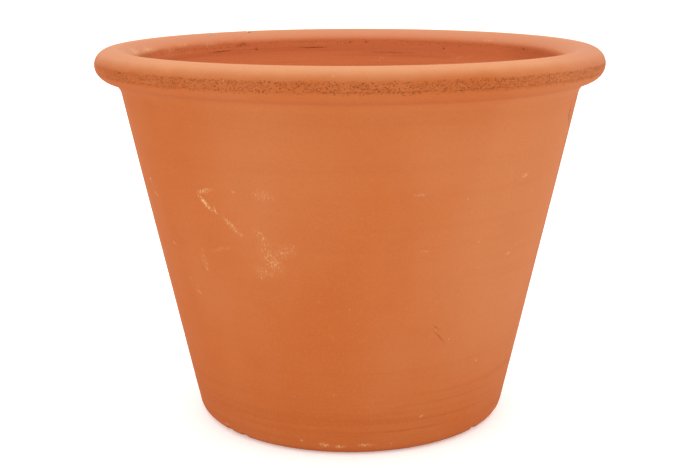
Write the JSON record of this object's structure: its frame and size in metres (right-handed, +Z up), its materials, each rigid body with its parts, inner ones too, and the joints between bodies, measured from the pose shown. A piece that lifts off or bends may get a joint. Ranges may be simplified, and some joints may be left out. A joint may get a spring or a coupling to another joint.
{
  "type": "terracotta flowerpot",
  "caption": "Round tapered flowerpot of unglazed terracotta with a thick rolled rim and a drain hole in its floor.",
  "frame": {"origin": "on the pot's upright axis, at the level of the foot ring it stands on", "axes": "+Z up along the pot's axis, from the foot to the rim; +X and +Y are alike, since the pot is round"},
  "size_m": [0.35, 0.35, 0.26],
  "materials": {
    "terracotta": "matte unglazed"
  },
  "bodies": {
    "root": {"pot": "terracotta"}
  },
  "joints": []
}
